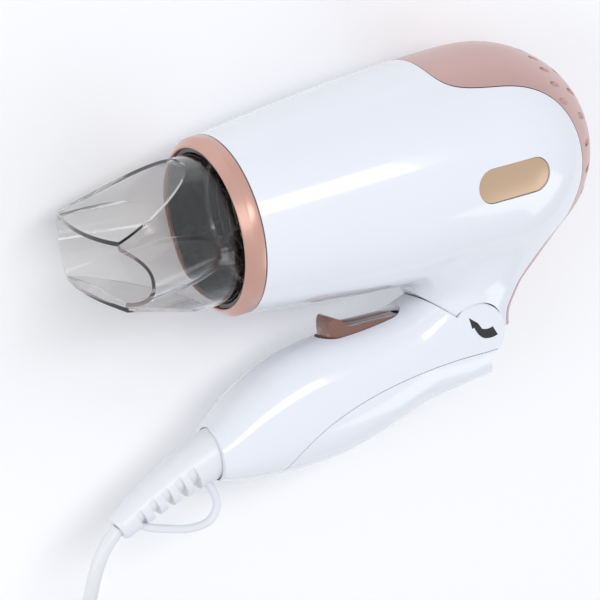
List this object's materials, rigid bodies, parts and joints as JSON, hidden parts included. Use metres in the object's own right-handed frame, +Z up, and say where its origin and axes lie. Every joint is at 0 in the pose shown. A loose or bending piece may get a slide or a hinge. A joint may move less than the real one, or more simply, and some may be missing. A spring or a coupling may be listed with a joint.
{
  "type": "hair dryer",
  "caption": "Folding travel hair dryer with a clear flared nozzle, rose ring and rear air intake, rocker switch, curved folding handle, hanging loop and coiled mains cord with plug.",
  "frame": {"origin": "on the surface the dryer lies on, under the middle of the dryer's box without its cord", "axes": "+X along the barrel from nozzle to air intake, +Y from the folded handle to the top of the barrel, +Z up out of the dryer's left side, along the fold hinge"},
  "size_m": [0.2254, 0.2852, 0.0819],
  "materials": {
    "shell_white": "gloss",
    "ring_rose": "satin",
    "cover_pink": "satin",
    "badge_gold": "satin",
    "heat_black": "matte",
    "nozzle_clear": "clear",
    "rocker_copper": "gloss",
    "steel": "brushed",
    "mica": "matte",
    "heat_wire": "oxidised",
    "board_green": "satin",
    "inner_white": "matte",
    "fan_grey": "matte",
    "lead_red": "satin",
    "lead_blue": "satin",
    "brass": "satin",
    "cord_white": "satin",
    "tie_black": "matte"
  },
  "bodies": {
    "handle": {"handle_shell": "shell_white", "handle_back": "shell_white", "hinge_pin": "steel", "hinge_washers": "steel", "rocker_pin": "steel", "switch_body": "heat_black", "switch_terminals": "brass", "handle_leads": "lead_blue", "cord_clamp": "inner_white", "clamp_screws": "steel", "handle_screws": "steel", "strain_relief": "cord_white", "hang_loop": "cord_white", "cord_lead": "cord_white", "cord_coil": "cord_white", "cord_tail": "cord_white", "cord_tie": "tie_black", "plug_body": "cord_white", "plug_pins": "brass"},
    "barrel": {"barrel_shell_left": "shell_white", "barrel_shell_right": "shell_white", "rear_cover": "cover_pink", "front_ring": "ring_rose", "outlet_sleeve": "heat_black", "outlet_grille": "heat_black", "badge_left": "badge_gold", "badge_right": "badge_gold", "intake_filter": "heat_black", "fan_housing": "inner_white", "motor": "steel", "rectifier_board": "board_green", "heater_tube": "mica", "heater_boards": "mica", "heater_coils": "heat_wire", "thermostat": "brass", "thermal_fuse": "inner_white", "barrel_screws": "steel", "barrel_leads": "lead_red"},
    "nozzle": {"nozzle": "nozzle_clear"},
    "fan": {"fan": "fan_grey", "motor_shaft": "steel"},
    "rocker": {"rocker": "rocker_copper"}
  },
  "joints": [
    {"name": "barrel_fold", "type": "hinge", "parent": "handle", "child": "barrel", "pos_m": [0.04025, -0.03475, 0.041], "axis": [0, 0, -1], "range_deg": [0, 66]},
    {"name": "nozzle_turn", "type": "hinge", "parent": "barrel", "child": "nozzle", "pos_m": [-0.05475, 0.02675, 0.041], "axis": [1, 0, 0], "continuous": true},
    {"name": "fan_spin", "type": "hinge", "parent": "barrel", "child": "fan", "pos_m": [0.06325, 0.02675, 0.041], "axis": [1, 0, 0], "continuous": true},
    {"name": "rocker_tilt", "type": "hinge", "parent": "handle", "child": "rocker", "pos_m": [-0.00025, -0.02675, 0.041], "axis": [0, 0, 1], "range_deg": [0, 15]}
  ]
}
